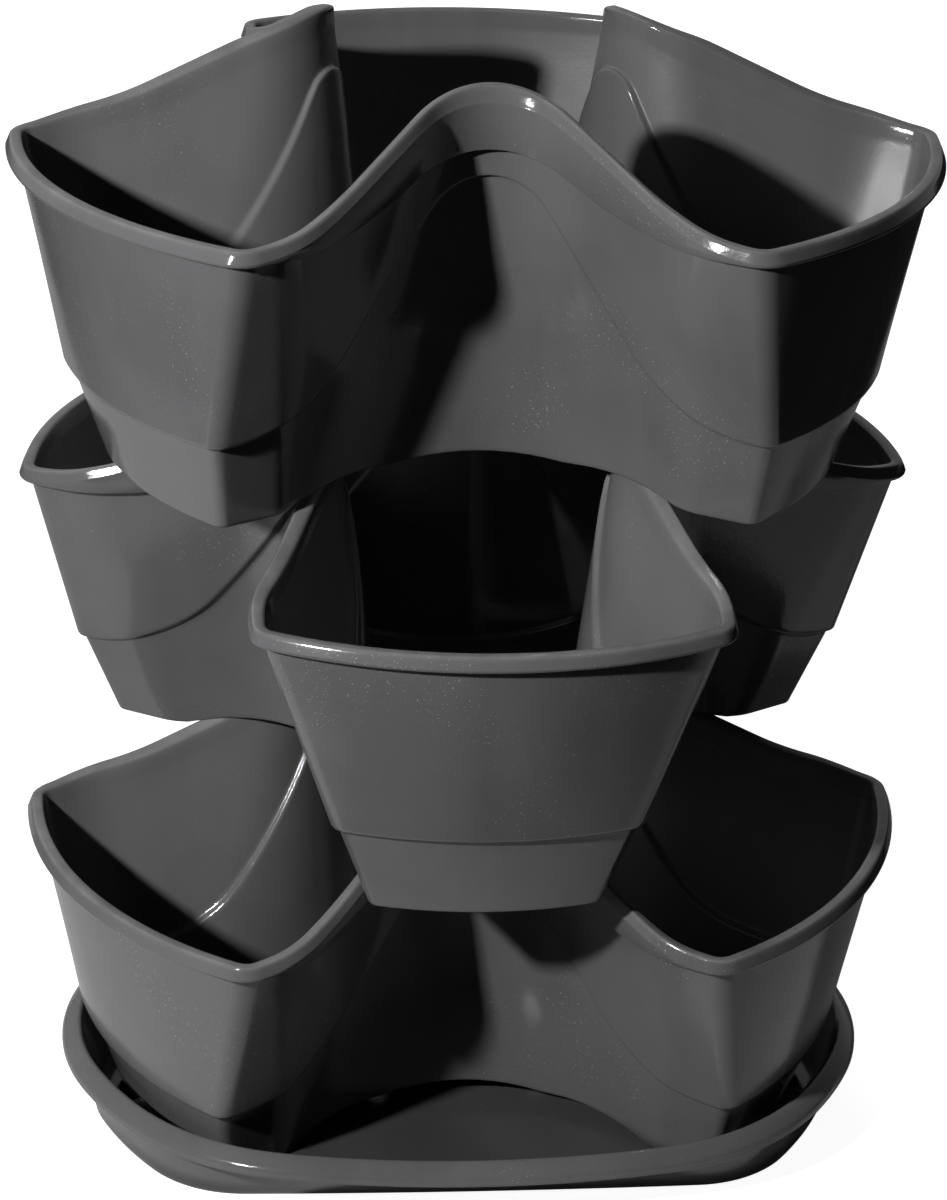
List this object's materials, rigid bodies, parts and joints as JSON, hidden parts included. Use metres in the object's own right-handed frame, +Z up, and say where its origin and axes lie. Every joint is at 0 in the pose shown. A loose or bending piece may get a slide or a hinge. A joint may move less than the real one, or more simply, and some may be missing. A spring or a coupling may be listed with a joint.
{
  "type": "vertical planter tower",
  "caption": "Tower of stacking three-lobed pots with wavy rims, each turned against the next, on a rounded saucer.",
  "frame": {"origin": "centre of the saucer's flat underside, on the floor", "axes": "+Z up, -Y the front that the picture shows, +X to the right seen from the front"},
  "size_m": [0.3106, 0.311, 0.383],
  "materials": {
    "pot_plastic": "glossy moulded polypropylene, anthracite",
    "saucer_plastic": "glossy moulded polypropylene, anthracite"
  },
  "bodies": {
    "saucer": {"saucer": "saucer_plastic"},
    "bottom_pot": {"pot_bottom": "pot_plastic"},
    "middle_pot": {"pot_middle": "pot_plastic"},
    "top_pot": {"pot_top": "pot_plastic"}
  },
  "joints": [
    {"name": "lift_bottom_pot", "type": "slide", "parent": "saucer", "child": "bottom_pot", "axis": [0, 0, 1], "range_m": [0, 0.06]},
    {"name": "lift_middle_pot", "type": "slide", "parent": "bottom_pot", "child": "middle_pot", "axis": [0, 0, 1], "range_m": [0, 0.06]},
    {"name": "lift_top_pot", "type": "slide", "parent": "middle_pot", "child": "top_pot", "axis": [0, 0, 1], "range_m": [0, 0.06]}
  ]
}
